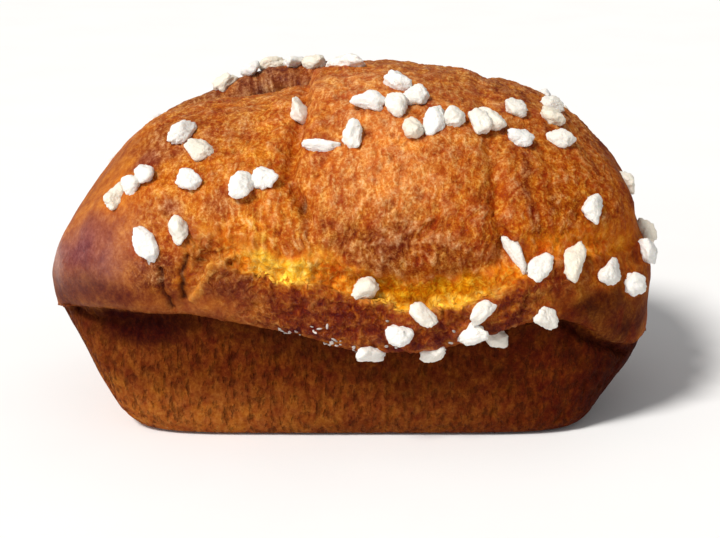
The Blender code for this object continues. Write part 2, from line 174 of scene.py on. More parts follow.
# Cage: coarse faces along X, along Y and up the side, cuts that refine each, and the climb of its lines.
COARSE_FACES = (25, 17, 12)
REFINING_CUTS = 9
CLIMB_BASE_EDGE, CLIMB_ROUNDED, CLIMB_WALL = 1.0, 1.05, 1.10
CLIMB_WALL_TOP, CLIMB_UNDERSIDE, CLIMB_ROLL, CLIMB_LIP, CLIMB_OVER_LIP = 1.40, 1.49, 1.57, 1.70, 1.84
CLIMB_CROWN = 3.0
EDGE_MIDDLE_IN, EDGE_MIDDLE_UP = 0.25, 0.28
OVERHANG_AT_UNDERSIDE, OVERHANG_AT_ROLL, RISE_AT_ROLL = 0.50, 0.15, 0.25

# --- Finer relief ---

MM = 0.001

# Heights of the skin's flakes, fine flakes and blisters, and of creases and strands of drawn-out dough.
FLAKES, FINE_FLAKES, BLISTERS = 0.38 * MM, 0.18 * MM, 0.30 * MM
SCALES, DRAWN_STRANDS = 0.80 * MM, 0.50 * MM

# How deep the seams' bottoms are, how high flakes stand beside the left one, and how deep wall pores are.
LEFT_BOTTOM, RIGHT_BOTTOM, BESIDE_LEFT, PORE_DEPTH = 0.9 * MM, 0.7 * MM, 0.5 * MM, 0.50 * MM

# How far the left crumb swells out, and how spongy the tear, the left crumb and the lip are.
LEFT_CRUMB_SWELL = 1.5 * MM
SPONGY_TEAR, SPONGY_CRUMB, SPONGY_LIP = 0.8, 1.3, 1.1

# The part of its step that the lip's edge stands out, and that the crumb over it lies back.
STEP_EACH_WAY = 0.62

# The lip's ragged upper edge, by degrees round: its height, and how far it stands over the crumb.
EDGE_HEIGHT = (
    (-120, 0.0512), (-114, 0.0504), (-108, 0.0478), (-103, 0.0464), (-95, 0.0456), (-89, 0.0430),
    (-84, 0.0404), (-78, 0.0398), (-73, 0.0408), (-68, 0.0422), (-64, 0.0444), (-57, 0.0490),
    (-48, 0.0500), (-31, 0.0480), (-10, 0.0490), (20, 0.0490), (45, 0.0505), (70, 0.0525),
    (95, 0.0530), (120, 0.0570), (150, 0.0600),
)
EDGE_STEP = (
    (-122, 0.0), (-116, 0.0012), (-108, 0.0022), (-100, 0.0024), (-94, 0.0022), (-84, 0.0030),
    (-76, 0.0030), (-68, 0.0022), (-60, 0.0012), (-48, 0.0008), (-25, 0.0005), (-5, 0.0),
    (45, 0.0), (62, 0.0012), (85, 0.0018), (105, 0.0014), (125, 0.0006), (140, 0.0),
)

# How yellow the crumb in the tear shows, by degrees round, and how far up it reaches.
CRUMB_SHOWS = (
    (-112, 0.0), (-108, 0.25), (-105.5, 1.0), (-99.5, 1.0), (-96, 0.20), (-93, 0.10), (-90, 0.3),
    (-87, 0.90), (-80, 1.0), (-72, 1.0), (-68, 0.6), (-64, 0.1), (-58, 0.0), (50, 0.0), (65, 0.5),
    (80, 0.9), (98, 0.7), (115, 0.35), (130, 0.0),
)
CRUMB_REACH, CRUMB_REACH_LEFT = 0.0078, 0.0086

# Cracks on the front as paths of (X, Z), with their depth and half width, and the ragged rim of the skin
# that tore away from the lip there, with its height and half width.
CRACKS = (
    (((-0.0467, 0.0480), (-0.0457, 0.0425), (-0.0436, 0.0375)), 0.0013, 0.0007),
    (((-0.0396, 0.0512), (-0.0414, 0.0467), (-0.0407, 0.0408)), 0.0013, 0.0007),
    (((0.0515, 0.0330), (0.0570, 0.0288), (0.0607, 0.0262), (0.0690, 0.0215)), 0.0018, 0.0011),
    (((-0.0730, 0.0312), (-0.0660, 0.0298), (-0.0590, 0.0303), (-0.0500, 0.0335)), 0.0013, 0.0009),
    (((-0.0650, 0.0295), (-0.0630, 0.0250), (-0.0600, 0.0215)), 0.0009, 0.0009),
)
DEEP_CRACK = 0.0012
TORN_RIM = ((-0.0290, 0.0515), (-0.0336, 0.0500), (-0.0364, 0.0440), (-0.0393, 0.0404))
TORN_RIM_HEIGHT, TORN_RIM_HALF_WIDTH = 0.0012, 0.0009

# The smooth hollow under the lip at the lower left, where the wall is painted in shade: its middle as
# (X, Z), and its half width and height.
HOLLOW_AT = (-0.0540, 0.0305)
HOLLOW_HALF = (0.0155, 0.0066)

# The slit low in the left seam: its middle as (X, Z), its half width and half height, and its depth.
SLIT_AT = (-0.0118, 0.0636)
SLIT_HALF = (0.0006, 0.0018)
SLIT_DEPTH = 0.0014

# Bits that are pieces of their own: how many, their seed, the part of each that is sunk in the crust, and
# the ranges of their length, width and thickness. They turn by (mean, spread) in degrees.
TORN_BITS = (150, 12, 0.4, (0.0007, 0.0022), (0.0005, 0.0012), (0.0002, 0.0006))
SUGAR_BITS = (110, 13, 0.2, (0.0005, 0.0018), (0.0004, 0.0012), (0.0002, 0.0005))
BIT_DETAIL, BIT_LEAN, BIT_TURN = 2, 0.35, (90, 35)

# Where sugar melted or broke up on the crust: (X, degrees over, reach along X, reach in degrees).
SUGAR_DUST = (
    (-0.0150, -3.5, 0.0030, 1.6), (-0.0050, -6.5, 0.0032, 1.6), (0.0055, -8.5, 0.0045, 1.5),
    (0.0090, 1.5, 0.0012, 1.4), (0.0260, -5.0, 0.0030, 2.0), (-0.0080, -1.0, 0.0020, 1.4),
)

# A grain of sugar: how fine its ball is, how many worn facets it has and how sharp they meet, and
# (size, height) of its waves, on a ball 1 m in radius.
GRAIN_DETAIL, GRAIN_FACETS, GRAIN_SHARPNESS = 4, 9, 4.5
FIRST_LUMP_SEED = 1700
LUMP_WAVES = ((0.95, 0.20), (0.42, 0.14), (0.20, 0.10), (0.10, 0.06))

# --- Colours, as linear red, green and blue ---

SUGAR_WHITE = (0.84, 0.82, 0.78)
SUGAR_CREAM = (0.82, 0.74, 0.60)
SUGAR_GLASS = (0.50, 0.44, 0.40)

CRUST = (0.46, 0.138, 0.018)
BAKED_TOP = (0.30, 0.078, 0.014)
WALL = (0.110, 0.020, 0.0018)
WALL_LOW = (0.310, 0.086, 0.0130)
# Painted shade for the wall's right side, turned from the light.
WALL_RIGHT_SHADE = (0.090, 0.013, 0.0010)
# Painted shade for the wall's right end, the hollow under the lip and the band just under the lip.
WALL_SHADE = (0.028, 0.002, 0.0001)
STRETCHED = (0.56, 0.148, 0.007)
STRANDS = (0.58, 0.172, 0.009)
TAN_BALL = (0.64, 0.225, 0.052)
# Partly the middle ball's browner crust low down and partly painted shade where it curls under.
LOW_BALL_AND_SHADE = (0.19, 0.035, 0.002)
RIGHT_BALL = (0.43, 0.096, 0.003)
RIGHT_LOW = (0.38, 0.072, 0.001)
ORANGE = (0.60, 0.190, 0.014)
BRIDGE = (0.90, 0.260, 0.010)
DEEP_ORANGE = (0.46, 0.100, 0.003)
# Partly a reddish brown crust and partly a painted bluish sheen that gives it its purple cast.
PLUM = (0.165, 0.036, 0.038)
# Partly the lip's darker crust and partly painted shade.
LIP_PLUM = (0.130, 0.018, 0.003)
CHEEK_TAN = (0.160, 0.030, 0.003)
# Partly the cheek's darker crust low down and partly painted shade.
CHEEK_LOW = (0.080, 0.009, 0.001)
TAN_LIP = (0.215, 0.053, 0.011)
# Partly the roll's darker crust under the lip at the right and partly painted shade.
ROLL = (0.050, 0.0075, 0.0003)
RED_BROWN = (0.145, 0.014, 0.0002)
END_BROWN = (0.25, 0.052, 0.005)
DARK_RIM = (0.20, 0.050, 0.013)
# Painted shade for the deepest recesses: the split, the left seam's bottom, the cracks and the slit.
RECESS_SHADE = (0.050, 0.007, 0.001)
# Painted shade for the wall's pores.
PORE_SHADE = (0.030, 0.005, 0.0006)
# Painted shade for the skin's crevices.
CREVICE_SHADE = (0.150, 0.024, 0.002)
TORN_SKIN = (0.64, 0.250, 0.040)
# Painted highlight for the skin's crests.
PEACH_HIGHLIGHT = (0.88, 0.440, 0.170)
CRUMB = (0.98, 0.560, 0.058)
CRUMB_DEEP = (0.66, 0.235, 0.008)
# Painted shade for the crumb under the middle ball's overhang.
CRUMB_SHADE = (0.56, 0.190, 0.002)
# Partly a caramel glaze round the sugar and partly painted shade round the grains.
GLAZE_AND_SHADE = (0.38, 0.080, 0.004)

# Patches of colour: (colour, X, degrees over, reach along X, reach in degrees, strength).
PATCHES = (
    (ORANGE, -0.040, 48, 0.020, 22, 0.55), (STRETCHED, -0.021, 58, 0.007, 24, 0.85),
    (STRANDS, -0.021, 28, 0.011, 13, 0.85), (TAN_BALL, 0.009, 52, 0.018, 26, 1.0),
    # The dark band low on the middle ball is partly browner crust and partly painted shade where it curls
    # under.
    (RIGHT_BALL, 0.029, 34, 0.008, 18, 0.6), (LOW_BALL_AND_SHADE, 0.012, 21, 0.021, 8, 0.85),
    (RIGHT_BALL, 0.052, 34, 0.017, 26, 0.9), (RED_BROWN, 0.030, 84, 0.040, 12, 0.10),
    (BAKED_TOP, -0.050, 66, 0.018, 13, 0.8), (TAN_BALL, -0.001, 78, 0.014, 14, 0.7),
    (RIGHT_LOW, 0.048, 24, 0.018, 9, 0.8), (RIGHT_LOW, 0.071, 36, 0.010, 26, 0.8),
    # The dark browns low on the front, on the cheek, the lip and the roll at the right, are partly darker
    # crust and partly painted shade, and the cheek's purple cast is partly painted bluish sheen.
    (PLUM, -0.067, 22, 0.013, 16, 0.95), (CHEEK_LOW, -0.060, 6, 0.016, 9, 0.97),
    (CHEEK_LOW, -0.075, 0, 0.012, 13, 0.95), (CHEEK_TAN, -0.046, 10, 0.010, 10, 0.85),
    (LIP_PLUM, -0.029, 10, 0.009, 6, 0.97), (TAN_LIP, -0.036, -1, 0.016, 5, 0.9),
    (RED_BROWN, 0.000, 1, 0.022, 7, 0.90), (RED_BROWN, 0.028, -1, 0.016, 6, 0.8),
    (ROLL, 0.059, 1, 0.016, 9, 1.0), (ROLL, 0.070, -12, 0.015, 12, 1.0),
    (RED_BROWN, 0.077, 30, 0.010, 60, 0.4), (DARK_RIM, -0.026, 116, 0.022, 8, 0.9),
    (ORANGE, 0.012, 138, 0.018, 18, 0.6), (TAN_BALL, 0.052, 132, 0.016, 16, 0.5),
    (ORANGE, -0.044, 150, 0.018, 16, 0.5), (RED_BROWN, 0.020, 186, 0.030, 8, 0.6),
    (TAN_LIP, -0.040, 184, 0.016, 7, 0.6), (ORANGE, 0.022, 6, 0.016, 3, 0.5),
)

# --- Textures and studio ---

# How long the waves of each texture are, and how high the crust's textures stand.
MOTTLE, FIBRES, SPECKLE, FOAM, PORES, CRYSTALS = 4.2 * MM, 1.1 * MM, 0.7 * MM, 1.5 * MM, 1.4 * MM, 0.6 * MM
LINE_HEIGHT, BUBBLE_HEIGHT, HOLE_DEPTH, SPECK_HEIGHT = 0.75 * MM, 1.70 * MM, 0.45 * MM, 0.10 * MM

FLOOR_SIZE, FLOOR_CLOUDS, SKY_STRENGTH = 6.0, 0.05, 0.35
CAMERA_TARGET = Vector((0.0019, 0.0, 0.034))
CAMERA_DISTANCE = 0.42
CAMERA_ELEVATION = math.radians(18)
CAMERA_LENS = 77.45


def hermite(value, places, amounts, slopes):
    """Cubic pieces between places. amounts and slopes have a row for each place."""
    left = np.clip(np.searchsorted(places, value) - 1, 0, len(places) - 2)
    span = places[left + 1] - places[left]
    part = np.clip((value - places[left]) / span, 0, 1)
    column = np.arange(len(value)) if amounts.shape[1] > 1 else 0
    here, there = amounts[left, column], amounts[left + 1, column]
    leave, arrive = slopes[left, column] * span, slopes[left + 1, column] * span
    ease = part * part * (3 - 2 * part)
    return here + (there - here) * ease + part * (1 - part) * ((1 - part) * leave - part * arrive)


def smooth_through(value, keys):
    """The smooth curve through (place, amount) keys. It never passes them, and is level past its ends."""
    places, amounts = np.array(sorted(keys)).T
    steps = np.diff(amounts) / np.diff(places)
    before, after = steps[:-1], steps[1:]
    onward = before * after > 0
    slopes = np.where(onward, 2 * before * after / np.where(onward, before + after, 1), 0)
    return hermite(value, places, amounts[:, None], np.pad(slopes, 1)[:, None])


def part_of_deepest(value, depths):
    return smooth_through(value, depths) / max(depth for _, depth in depths)


def smooth_round(degrees, keys):
    """The smooth closed curve through (degrees round, amount) keys."""
    turns = [(place + turn, amount) for turn in (-360, 0, 360) for place, amount in keys]
    return smooth_through(degrees, turns)


def fade(value, low, high):
    """0 below low, 1 above high, and smooth between."""
    part = np.clip((value - low) / (high - low), 0, 1)
    return part * part * (3 - 2 * part)


def bump(distance, reach):
    return np.exp(-((distance / reach) ** 2))


def away(points, middle, reach):
    """How far points are from a middle, as a part of its reach along each axis."""
    return np.linalg.norm((points - middle) / reach, axis=1)


def distance_to_path(flat_points, path):
    """How far points of a plane are from a path of straight pieces."""
    nearest = np.full(len(flat_points), np.inf)
    for start, end in zip(np.array(path)[:-1], np.array(path)[1:]):
        along = end - start
        part = np.clip(((flat_points - start) @ along) / (along @ along), 0, 1)
        nearest = np.minimum(nearest, np.linalg.norm(flat_points - start - part[:, None] * along, axis=1))
    return nearest


def waves(points, size, seed=0.0):
    """Soft noise from about -1 to 1. size is the length of its waves: one, or one for each axis."""
    return np.array([noise.noise(place) for place in (points / size + seed).tolist()])


def ridges(points, size, seed=0.0):
    """Noise with sharp crests at 1 and wide valleys down to about 0."""
    return 1 - np.minimum(np.abs(waves(points, size, seed)) * 2.2, 1)


def fine_cage():
    """A 2 m cube cut into small cells, with its base left as one face."""
    cage = bmesh.new()
    bmesh.ops.create_cube(cage, size=2.0)
    for axis, count in enumerate(COARSE_FACES):
        normal = Vector(float(axis == k) for k in range(3))
        for cut in range(1, count):
            everything = cage.verts[:] + cage.edges[:] + cage.faces[:]
            where = normal * (2 * cut / count - 1)
            bmesh.ops.bisect_plane(cage, geom=everything, plane_co=where, plane_no=normal)
    base = [f for f in cage.faces if f.calc_center_median().z < -1 + 1e-6]
    bmesh.ops.dissolve_faces(cage, faces=base, use_verts=False)
    bmesh.ops.subdivide_edges(cage, edges=cage.edges, cuts=REFINING_CUTS, use_grid_fill=True)
    bmesh.ops.recalc_face_normals(cage, faces=cage.faces)
    return cage


def climb_and_ring(cage_points):
    """How far each cage point has climbed from the middle of the base, and its direction round."""
    disc = cage_points[:, :2] * np.sqrt(1 - cage_points[:, 1::-1] ** 2 / 2)
    across = np.hypot(disc[:, 0], disc[:, 1])
    level = cage_points[:, 2]
    climb = np.where(level < -1 + 1e-6, across, np.where(level > 1 - 1e-6, 3 - across, 1.5 + level / 2))
    return climb, disc / np.maximum(across, 1e-9)[:, None]


def plain_form(climb, ring):
    """The loaf without relief: flat base, tapered wall, lip that hangs over it, and dome."""
    degrees = np.degrees(np.arctan2(ring[:, 1], ring[:, 0]))
    underside = smooth_round(degrees, LIP_UNDERSIDE)
    swell = smooth_round(degrees, LIP_SWELL)
    stands_out = smooth_round(degrees, LIP_STANDS_OUT)
    widest = underside + LIP_RISE
    wall_height = underside + LIP_TUCK * stands_out
    lip_length, lip_width = LIP_HALF_LENGTH + swell, LIP_HALF_WIDTH + swell
    spread = BASE_EDGE_RADIUS / wall_height

    # Each line round the loaf: its climb, how far it lies inside the wall's foot, and then outside it as
    # a part of the way to the lip, how far it lies inside the lip, its height, and its squareness.
    base, lip = BASE_SQUARENESS, LIP_SQUARENESS
    lines = (
        (CLIMB_BASE_EDGE, BASE_EDGE_RADIUS, 0, 0, 0, base),
        (CLIMB_ROUNDED, EDGE_MIDDLE_IN * BASE_EDGE_RADIUS, 0, 0, EDGE_MIDDLE_UP * BASE_EDGE_RADIUS, base),
        (CLIMB_WALL, 0, spread, spread * stands_out, BASE_EDGE_RADIUS, base),
        (CLIMB_WALL_TOP, 0, 1, stands_out, wall_height, lip),
        (CLIMB_UNDERSIDE, 0, 1, OVERHANG_AT_UNDERSIDE * stands_out, underside, lip),
        (CLIMB_ROLL, 0, 1, OVERHANG_AT_ROLL * stands_out, underside + RISE_AT_ROLL * LIP_RISE, lip),
        (CLIMB_LIP, 0, 1, 0, widest, lip),
        (CLIMB_OVER_LIP, 0, 1, 0, widest + LIP_RISE, lip),
    )
    nothing = np.zeros_like(swell)
    stations = [(0, nothing, nothing, nothing, nothing + base)]
    for place, inside_foot, way, inside_lip, level, square in lines:
        length = BASE_HALF_LENGTH - inside_foot + way * (lip_length - BASE_HALF_LENGTH) - inside_lip
        width = BASE_HALF_WIDTH - inside_foot + way * (lip_width - BASE_HALF_WIDTH) - inside_lip
        stations.append((place, length, width, nothing + level, nothing + square))
    places = np.array([row[0] for row in stations])
    length, width, height, squareness = (
        hermite(climb, places, rows, np.gradient(rows, places, axis=0))
        for rows in (np.array([row[k] for row in stations]) for k in range(1, 5))
    )

    power = DOME_POWER + DOME_POWER_LEAN * np.tanh(ring[:, 0] * LIP_HALF_LENGTH / DOME_LEAN_LENGTH)
    turn = np.clip((climb - CLIMB_LIP) / (CLIMB_CROWN - CLIMB_LIP), 0, 1) * math.pi / 2
    shrink, rise = np.cos(turn) ** (2 / power), np.sin(turn) ** (2 / power)
    on_dome = climb > CLIMB_LIP
    length = np.where(on_dome, lip_length * shrink, length)
    width = np.where(on_dome, lip_width * shrink, width)
    height = np.where(on_dome, widest + (LOAF_HEIGHT - widest) * rise, height)
    squareness = np.where(on_dome, LIP_SQUARENESS + (CROWN_SQUARENESS - LIP_SQUARENESS) * rise, squareness)

    rounding = np.maximum((np.abs(ring) ** squareness[:, None]).sum(axis=1), 1e-9) ** (1 / squareness)
    shift = BASE_LIES_RIGHT * (1 - fade(climb, CLIMB_BASE_EDGE, CLIMB_WALL_TOP))
    return np.stack([ring[:, 0] / rounding * length + shift, ring[:, 1] / rounding * width, height], axis=1)


class Places:
    """Where each point of the crust lies: in metres, and in degrees round and over."""

    def __init__(self, points, ring):
        self.points = points
        self.x, self.y, self.z = points.T
        self.round = np.degrees(np.arctan2(ring[:, 1], ring[:, 0]))
        over = np.degrees(np.arctan2(self.z - SPIN_HEIGHT, -self.y))
        self.over = np.where(over < -90, over + 360, over)
        # The degrees over meet in a point at each end, where nothing is drawn by them.
        self.pole = 1 - fade(np.hypot(self.y, self.z - SPIN_HEIGHT), 8 * MM, 26 * MM)
        # Curled distances along X and over the loaf, for what is drawn out with the dough.
        drawn = np.stack([self.x, np.radians(self.over) * LIP_HALF_WIDTH, 0 * self.x], axis=1)
        curls = np.stack([waves(points, 5 * MM, seed) for seed in (20.1, 31.7, 43.3)], axis=1)
        self.curled = drawn + 1.3 * MM * curls


def broad_relief(at):
    """How far the solid's crust stands out of the plain form."""
    out = np.zeros(len(at.points))
    for seam, depth in ((SEAM_LEFT, SEAM_LEFT_DEPTH), (SEAM_RIGHT, SEAM_RIGHT_DEPTH)):
        out -= smooth_through(at.over, depth) * bump(at.x - smooth_through(at.over, seam), SEAM_HALF_WIDTH)

    above = at.z - smooth_round(at.round, TEAR_HEIGHT)
    tear = np.where(above > 0, bump(above, TEAR_ABOVE), bump(above, TEAR_BELOW))
    out -= smooth_round(at.round, TEAR_DEPTH) * tear

    for x, degrees, reach, spread, height in SWELLINGS:
        out += height * bump(at.x - x, reach) * bump(at.over - degrees, spread)
    out -= DENT_DEPTH * bump(away(at.points, DENT_AT, DENT_REACH), 1.0)

    low, full, hold, end = SUNKEN_FROM_TO
    out -= smooth_through(at.x, SUNKEN_TOP) * fade(at.over, low, full) * (1 - fade(at.over, hold, end))
    out -= smooth_through(at.x, SPLIT_DEPTH) * bump(at.over - SPLIT_OVER, SPLIT_HALF_WIDTH)

    fissure = FISSURE_DEPTH * bump(distance_to_path(at.points[:, ::2], FISSURE), FISSURE_HALF_WIDTH)
    out -= np.where(at.y < 0, fissure, 0)

    strength = WAVES_ON_WALL + (1 - WAVES_ON_WALL) * fade(at.z, *WAVES_GROW_FROM_TO)
    for wavelength, height in WAVES:
        out += waves(at.points, wavelength) * height * strength
    return out * fade(at.z, *FLAT_BELOW_ABOVE)


class Regions:
    """Parts of the crust, each from 0 outside it to 1 inside it, and distances from edges and seams."""

    def __init__(self, at):
        ragged = 1.5 * MM * waves(at.points, 6 * MM, 3.1) + 0.9 * MM * waves(at.points, 2.3 * MM, 7.7)
        self.over_edge = at.z - smooth_round(at.round, EDGE_HEIGHT) + ragged
        self.edge_step = smooth_round(at.round, EDGE_STEP)
        self.above_edge = fade(self.over_edge, -0.5 * MM, 0.6 * MM)
        self.torn = np.clip(self.edge_step / (1.2 * MM), 0, 1)

        self.up_lip = at.z - smooth_round(at.round, LIP_UNDERSIDE)
        self.wall = 1 - fade(self.up_lip, -1.5 * MM, 1.5 * MM)
        self.lip = fade(self.up_lip, -1 * MM, 2 * MM) * (1 - fade(self.over_edge, -2 * MM, 1 * MM))
        self.lip *= self.torn

        self.left_crumb = fade(-at.x, -2 * MM, 6 * MM) * (at.y < 0)
        reach = CRUMB_REACH + (CRUMB_REACH_LEFT - CRUMB_REACH) * self.left_crumb
        reach = reach * (1 + 0.45 * waves(at.points, 4 * MM, 11.3))
        ball_edge = 1 - fade(self.over_edge, (0.45 + 0.25 * self.left_crumb) * reach, reach)
        self.crumb_shows = np.clip(smooth_round(at.round, CRUMB_SHOWS), 0, 1)
        self.crumb = self.crumb_shows * self.above_edge * ball_edge
        self.tear = self.above_edge * (1 - fade(self.over_edge, 3 * MM, 9 * MM)) * self.torn

        def beside(seam, wander, size, seed):
            """How far right of a wandering seam each point is."""
            return at.x - smooth_through(at.over, seam) + wander * waves(at.points, size, seed)

        self.left_seam = beside(SEAM_LEFT, 1.0 * MM, 4 * MM, 5.2)
        self.right_seam = beside(SEAM_RIGHT, 1.2 * MM, 6 * MM, 9.1)
        self.left_depth = part_of_deepest(at.over, SEAM_LEFT_DEPTH)
        self.right_depth = part_of_deepest(at.over, SEAM_RIGHT_DEPTH)

        # The skin is smooth and tight at both ends, and low on the front towards them.
        low_left = fade(-at.x, 18 * MM, 34 * MM) * (1 - fade(at.over, 6, 12))
        low_right = 0.9 * fade(at.x, 42 * MM, 52 * MM) * (1 - fade(at.over, 5, 12))
        low_ends = np.maximum(low_left, low_right)
        ends = np.maximum(fade(-at.x, 46 * MM, 58 * MM), 0.7 * fade(at.x, 60 * MM, 72 * MM))
        self.smooth = np.maximum(ends, low_ends) * (1 - self.wall)
        self.lip *= 1 - 0.8 * low_ends
        self.creased = bump(at.x - 12 * MM, 20 * MM) * bump(at.over - 27, 11) * (1 - self.tear)
        self.strands = bump(at.x + 21 * MM, 10 * MM) * bump(at.over - 28, 14)
        self.dark_rim = bump(at.x + 26 * MM, 24 * MM) * bump(at.over - 112, 9)

        flat, front = at.points[:, ::2], 1 - fade(at.y, -20 * MM, 0)
        wandering = flat + 0.7 * MM * waves(at.points, 2.6 * MM, 1.9)[:, None]
        self.slit = bump(away(flat, SLIT_AT, SLIT_HALF), 1.0) * front
        self.hollow = (1 - fade(away(flat, HOLLOW_AT, HOLLOW_HALF), 0.5, 1.25)) * front
        self.crack_depth = np.zeros(len(at.points))
        for path, depth, half_width in CRACKS:
            crack = bump(distance_to_path(wandering, path), half_width) * front
            self.crack_depth = np.maximum(self.crack_depth, crack * depth)
        self.torn_rim = bump(distance_to_path(wandering, TORN_RIM), TORN_RIM_HALF_WIDTH) * front


def skin_relief(at, part):
    """How far the flakes and blisters of the skin stand out."""
    rough = (1 - 0.85 * part.smooth) * (1 - 0.8 * part.wall)
    out = FLAKES * (ridges(at.curled, (1.5 * MM, 3.0 * MM, 1), 4.0) - 0.45)
    out += FINE_FLAKES * waves(at.curled, (1.0 * MM, 1.8 * MM, 1), 6.0)
    out = out * (1 - at.pole) + BLISTERS * waves(at.points, 3.0 * MM, 2.0)

    # Where dough was drawn out: scaly creases low on the middle ball, strands beside the left seam.
    scales = ridges(at.curled, (7 * MM, 2.8 * MM, 1), 2.4)
    out += SCALES * (scales**2 - 0.4) * part.creased
    out += DRAWN_STRANDS * (ridges(at.curled, (1.7 * MM, 8 * MM, 1), 5.4) - 0.5) * part.strands
    return out * rough


def fine_relief(at, part, skin):
    """How far the finest shapes stand out of the solid's crust, with the skin's own relief."""
    out = skin.copy()

    # The lip's edge stands over the crumb, and crumb and lip are spongy.
    under = bump(np.minimum(part.over_edge, 0), 3.0 * MM) * (1 - part.above_edge)
    over = bump(np.maximum(part.over_edge, 0), 3.4 * MM) * part.above_edge
    out += STEP_EACH_WAY * part.edge_step * (under - over)
    sponge = 0.50 * waves(at.points, 3.2 * MM, 6.0) + 0.60 * waves(at.points, 1.6 * MM, 8.0)
    left_crumb = part.crumb * part.left_crumb
    out += sponge * MM * (SPONGY_TEAR * part.tear + SPONGY_CRUMB * left_crumb + SPONGY_LIP * part.lip)
    out += LEFT_CRUMB_SWELL * left_crumb

    # Seams have a narrow, flaky bottom, with a slit low in the left one.
    flaky = 1 + 1.2 * waves(at.points, 2.5 * MM, 3.3)
    out -= LEFT_BOTTOM * flaky * part.left_depth * bump(part.left_seam, 0.7 * MM)
    out += BESIDE_LEFT * flaky * part.left_depth * bump(np.abs(part.left_seam) - 2.4 * MM, 1.0 * MM)
    out -= RIGHT_BOTTOM * flaky * part.right_depth * bump(part.right_seam, 1.0 * MM)
    out -= SLIT_DEPTH * part.slit

    # Wall: upright pores where the dough slid up the tin.
    pores = waves(at.points, (1.6 * MM, 1.6 * MM, 4.5 * MM), 1.2)
    out -= PORE_DEPTH * fade(pores, 0.05, 0.50) * part.wall

    out += TORN_RIM_HEIGHT * part.torn_rim - part.crack_depth

    # The split behind the left ball has a torn rim.
    torn_rim = bump(at.over - SPLIT_OVER + 2.5 * waves(at.points, 4 * MM, 6.6), 2.2)
    out -= smooth_through(at.x, SPLIT_DEPTH) * 0.6 * torn_rim
    return out * fade(at.z, *FLAT_BELOW_ABOVE)


def painted(tint, *coats):
    """Moves tints towards each coat's colour in turn, by its amount from 0 to 1 at each point."""
    for colour, amount in coats:
        tint = tint + (np.array(colour) - tint) * np.clip(amount, 0, 1)[:, None]
    return tint


def baked_tint(at, part):
    """The colour of the skin: patches, brown ends, blotches, streaks, and the seams and the split."""
    x = at.x + 3.0 * MM * waves(at.points, 11 * MM, 1.5)
    over = at.over + 4.0 * waves(at.points, 9 * MM, 2.5)
    tint = np.tile(CRUST, (len(at.points), 1))
    for colour, centre, degrees, reach, spread, strength in PATCHES:
        tint = painted(tint, (colour, strength * bump(x - centre, reach) * bump(over - degrees, spread)))

    ends = 0.8 * fade(np.abs(at.x), 54 * MM, 72 * MM) * fade(at.y, -28 * MM, -4 * MM)
    blotches = waves(at.points, 10 * MM, 4.5)
    front = 1 - fade(at.y, -25 * MM, -5 * MM)
    left_ball = fade(-at.x, 20 * MM, 40 * MM) * fade(at.over, 10, 30) * front
    streaks = fade(waves(at.curled, (3.2 * MM, 12 * MM, 1), 6.5), 0.10, 0.50)
    streaky = fade(at.x, 30 * MM, 42 * MM) * (1 - at.pole)
    split = part_of_deepest(at.x, SPLIT_DEPTH) * bump(over - SPLIT_OVER, 3.0)
    return painted(
        tint,
        (END_BROWN, np.maximum(at.pole, ends)),
        # Plum blotches on the left ball: reddish brown crust, their purple cast partly painted bluish sheen.
        (PLUM, 0.55 * fade(blotches, 0.12, 0.5) * left_ball),
        (DEEP_ORANGE, 0.5 * fade(-blotches, 0.05, 0.4) * (1 - part.smooth)),
        (RED_BROWN, 0.6 * streaks * streaky),
        (DEEP_ORANGE, 0.7 * part.left_depth * bump(part.left_seam, 2.4 * MM)),
        (DEEP_ORANGE, 0.7 * part.right_depth * bump(part.right_seam, 2.4 * MM)),
        # Painted shade at the left seam's narrow bottom.
        (RECESS_SHADE, 0.25 * part.left_depth**2 * bump(part.left_seam, 0.5 * MM)),
        (DARK_RIM, 0.9 * part.dark_rim),
        # Painted shade in the split behind the left ball.
        (RECESS_SHADE, 0.95 * split),
    )


def wall_tint(at, part):
    """Pale low down and towards the left, and dark at the right, in the hollow and by the lip."""
    low = (1 - fade(at.z, 4 * MM, 20 * MM)) * (0.35 + 0.65 * fade(-at.x, 0, 45 * MM))
    return painted(
        np.tile(WALL, (len(at.points), 1)),
        (WALL_LOW, low),
        (WALL_LOW, 0.15 * fade(-at.x, 30 * MM, 60 * MM)),
        # Painted shade on the right side, turned from the light.
        (WALL_RIGHT_SHADE, fade(at.x, 10 * MM, 55 * MM) * (1 - fade(at.y, -10 * MM, 30 * MM))),
        # Painted shade: at the right end, turned from the light, in the hollow under the lip, and in a band
        # just under the lip.
        (WALL_SHADE, 0.8 * fade(at.x, 52 * MM, 66 * MM) * (1 - fade(at.y, -20 * MM, 15 * MM))),
        (WALL_SHADE, part.hollow),
        (WALL_SHADE, 0.5 * bump(part.up_lip, 4 * MM)),
    )


